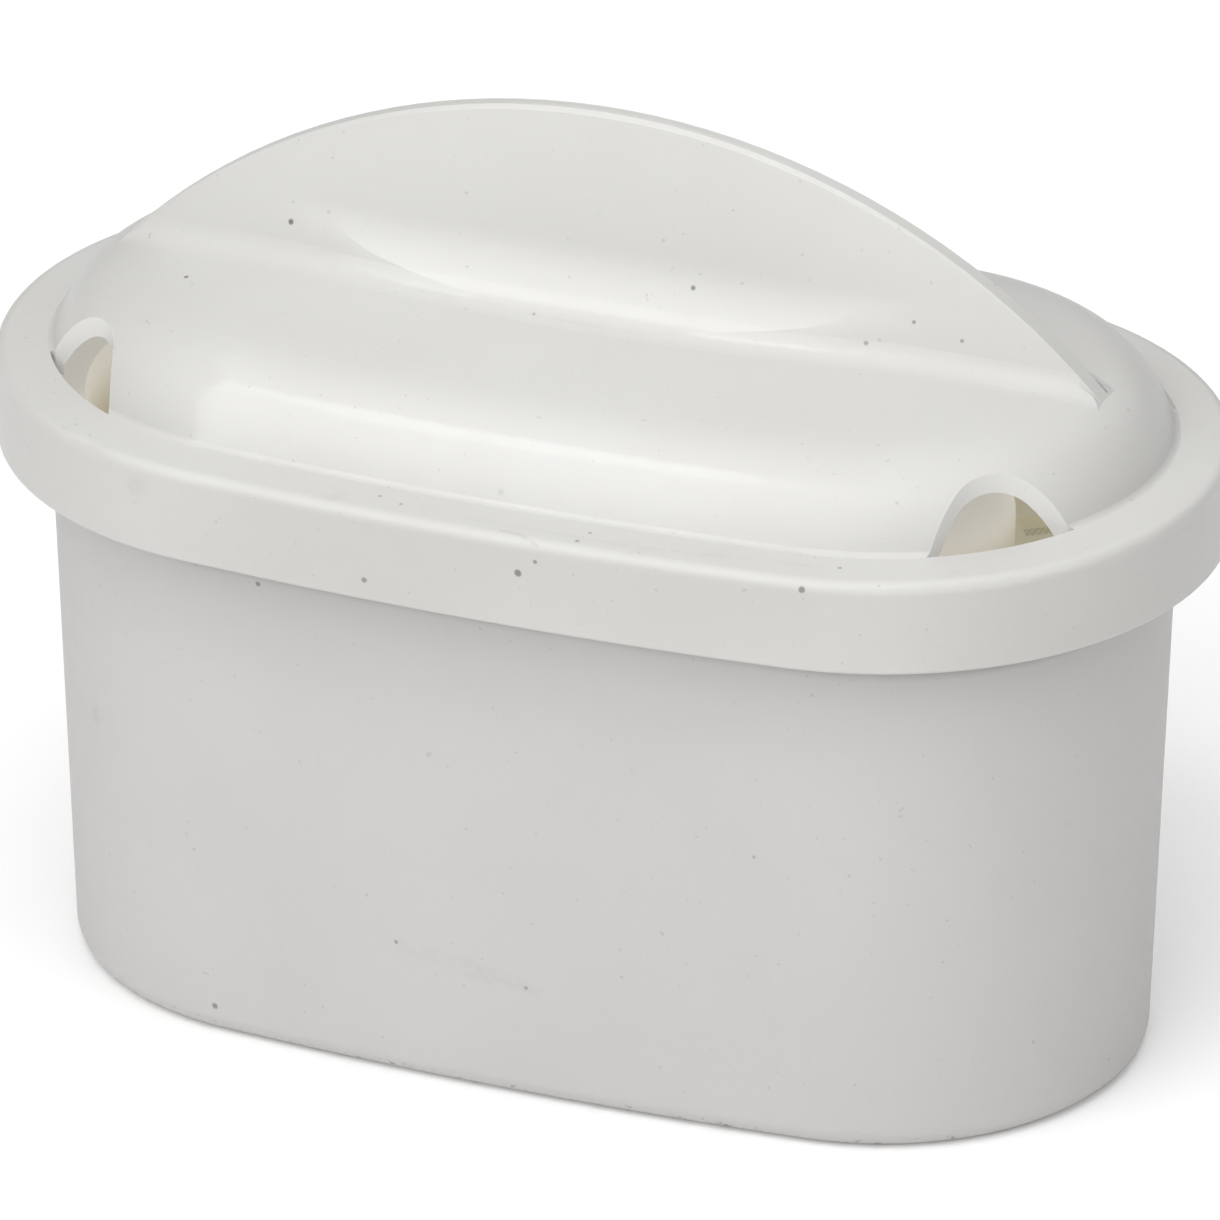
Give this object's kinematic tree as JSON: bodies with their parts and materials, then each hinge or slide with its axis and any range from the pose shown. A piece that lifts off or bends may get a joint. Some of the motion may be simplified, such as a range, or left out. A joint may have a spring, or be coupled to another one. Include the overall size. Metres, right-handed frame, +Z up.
{
  "type": "water pitcher filter cartridge",
  "caption": "Oval drop-in water filter cartridge: tapered cup, deep flat rim, domed cover with an arched finger grip and arched water inlets, slotted outlet floor.",
  "frame": {"origin": "middle of the oval foot, on the surface it stands on", "axes": "+X along the oval's length, +Y across it, +Z up through the grip"},
  "size_m": [0.107, 0.061, 0.0807],
  "materials": {
    "cup_plastic": "fine matte white moulded plastic",
    "cover_plastic": "satin white moulded plastic, glossier on the roof",
    "frame_plastic": "cream moulded plastic",
    "sieve_cloth": "fine white sieve cloth",
    "granules": "amber resin beads mixed with black carbon grains",
    "fleece": "white non-woven fleece"
  },
  "bodies": {
    "root": {"cup": "cup_plastic", "cover": "cover_plastic", "sieve_frame": "frame_plastic", "upper_cloth": "sieve_cloth", "granule_filling": "granules", "outlet_fleece": "fleece", "outlet_frame": "frame_plastic"}
  },
  "joints": []
}
